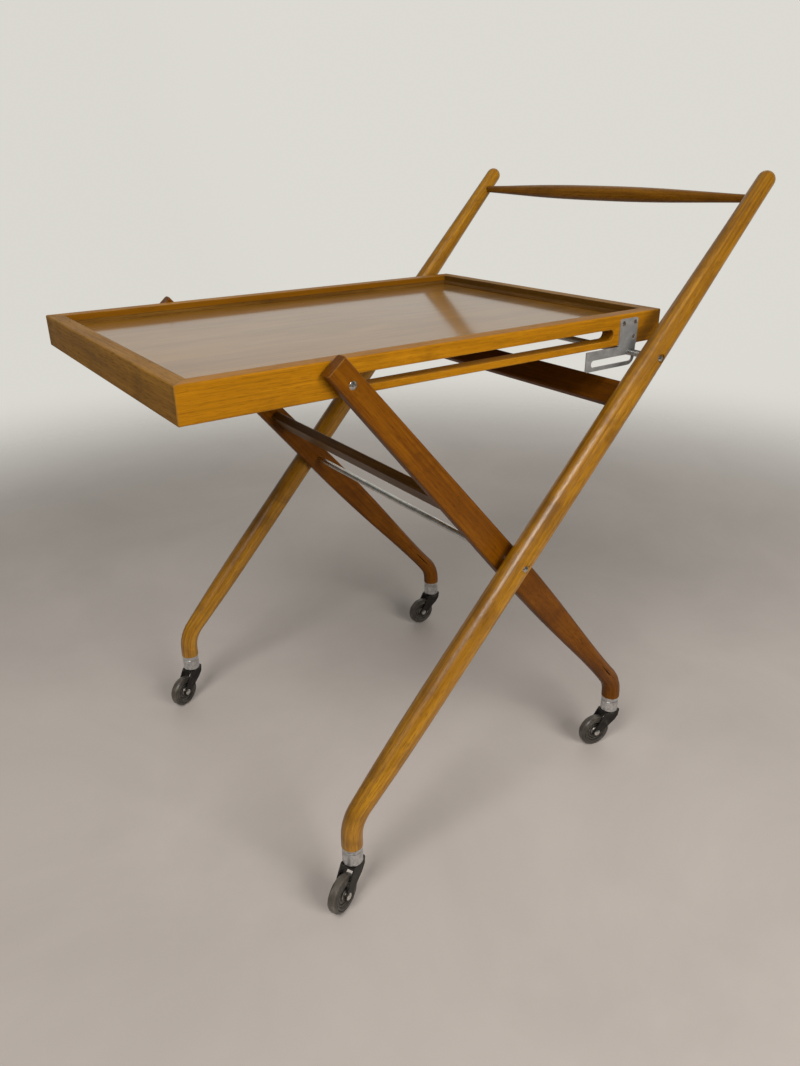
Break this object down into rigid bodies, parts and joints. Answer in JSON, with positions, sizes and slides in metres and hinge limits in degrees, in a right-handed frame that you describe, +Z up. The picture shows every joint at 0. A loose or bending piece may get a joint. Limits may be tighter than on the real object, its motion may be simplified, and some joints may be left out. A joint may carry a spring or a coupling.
{
  "type": "folding serving trolley",
  "caption": "Folding wooden serving trolley: a rimmed tray carried on crossed legs with a turned push handle, hook brackets and swivel casters.",
  "frame": {"origin": "on the floor, under the centre of the whole trolley", "axes": "+X along the tray towards the push handle, +Z up, +Y to the right-hand side for a person pushing"},
  "size_m": [0.7622, 0.5441, 0.8],
  "materials": {
    "tray_wood": "golden ochre clear lacquer",
    "veneer": "glossy clear lacquer over veneer",
    "pole_wood": "honey brown clear lacquer",
    "dark_wood": "reddish brown clear lacquer",
    "zinc_sheet": "zinc plated, grey",
    "bright_rod": "drawn bright steel",
    "nickel_screws": "nickel plated, slightly worn",
    "galvanised": "galvanised, mottled",
    "fork_metal": "black brown enamel, worn",
    "hub_metal": "dull pressed steel",
    "tyre_rubber": "dark grey brown hard rubber"
  },
  "bodies": {
    "handle_frame": {"cross_board": "dark_wood", "crossing_rod": "bright_rod", "crossing_screws": "nickel_screws", "ferrule_front_left": "galvanised", "ferrule_front_right": "galvanised", "handle_bar": "pole_wood", "latch_rod": "bright_rod", "latch_rod_screws": "nickel_screws", "pole_left": "pole_wood", "pole_right": "pole_wood", "spacer_washers": "nickel_screws"},
    "leg_frame": {"ferrule_rear_left": "galvanised", "ferrule_rear_right": "galvanised", "leg_cross_rail": "dark_wood", "leg_left": "dark_wood", "leg_right": "dark_wood", "slot_pin_left": "nickel_screws", "slot_pin_right": "nickel_screws"},
    "tray": {"bead_front": "tray_wood", "bead_left": "tray_wood", "bead_rear": "tray_wood", "bead_right": "tray_wood", "bracket_screws": "nickel_screws", "hook_bracket_left": "zinc_sheet", "hook_bracket_right": "zinc_sheet", "tray_panel": "veneer", "tray_rail_front": "tray_wood", "tray_rail_left": "tray_wood", "tray_rail_rear": "tray_wood", "tray_rail_right": "tray_wood"},
    "caster_front_left": {"caster_axle_front_left": "nickel_screws", "caster_fork_front_left": "fork_metal"},
    "wheel_front_left": {"tyre_front_left": "tyre_rubber", "wheel_hub_front_left": "hub_metal"},
    "caster_front_right": {"caster_axle_front_right": "nickel_screws", "caster_fork_front_right": "fork_metal"},
    "wheel_front_right": {"tyre_front_right": "tyre_rubber", "wheel_hub_front_right": "hub_metal"},
    "caster_rear_left": {"caster_axle_rear_left": "nickel_screws", "caster_fork_rear_left": "fork_metal"},
    "wheel_rear_left": {"tyre_rear_left": "tyre_rubber", "wheel_hub_rear_left": "hub_metal"},
    "caster_rear_right": {"caster_axle_rear_right": "nickel_screws", "caster_fork_rear_right": "fork_metal"},
    "wheel_rear_right": {"tyre_rear_right": "tyre_rubber", "wheel_hub_rear_right": "hub_metal"}
  },
  "joints": [
    {"name": "leg_fold", "type": "hinge", "parent": "handle_frame", "child": "leg_frame", "pos_m": [-0.00608, 0, 0.3785], "axis": [0, 1, 0], "range_deg": [0, 72]},
    {"name": "tray_turn", "type": "hinge", "parent": "handle_frame", "child": "tray", "pos_m": [0.19525, 0, 0.59821], "axis": [0, 1, 0], "range_deg": [0, 36]},
    {"name": "swivel_front_left", "type": "hinge", "parent": "handle_frame", "child": "caster_front_left", "pos_m": [-0.24728, -0.2515, 0.056], "axis": [0, 0, 1], "continuous": true},
    {"name": "roll_front_left", "type": "hinge", "parent": "caster_front_left", "child": "wheel_front_left", "pos_m": [-0.2692, -0.26126, 0.024], "axis": [-0.4067, 0.9135, 0], "continuous": true},
    {"name": "swivel_front_right", "type": "hinge", "parent": "handle_frame", "child": "caster_front_right", "pos_m": [-0.24728, 0.2515, 0.056], "axis": [0, 0, 1], "continuous": true},
    {"name": "roll_front_right", "type": "hinge", "parent": "caster_front_right", "child": "wheel_front_right", "pos_m": [-0.26903, 0.24136, 0.024], "axis": [-0.4226, 0.9063, 0], "continuous": true},
    {"name": "swivel_rear_left", "type": "hinge", "parent": "leg_frame", "child": "caster_rear_left", "pos_m": [0.22552, -0.2246, 0.056], "axis": [0, 0, 1], "continuous": true},
    {"name": "roll_rear_left", "type": "hinge", "parent": "caster_rear_left", "child": "wheel_rear_left", "pos_m": [0.20205, -0.21961, 0.024], "axis": [0.2079, 0.9781, 0], "continuous": true},
    {"name": "swivel_rear_right", "type": "hinge", "parent": "leg_frame", "child": "caster_rear_right", "pos_m": [0.22552, 0.2246, 0.056], "axis": [0, 0, 1], "continuous": true},
    {"name": "roll_rear_right", "type": "hinge", "parent": "caster_rear_right", "child": "wheel_rear_right", "pos_m": [0.20152, 0.2246, 0.024], "axis": [0, 1, 0], "continuous": true}
  ],
  "couplings": [
    {"joint": "tray_turn", "follows": "leg_fold", "ratio": 0.498}
  ]
}
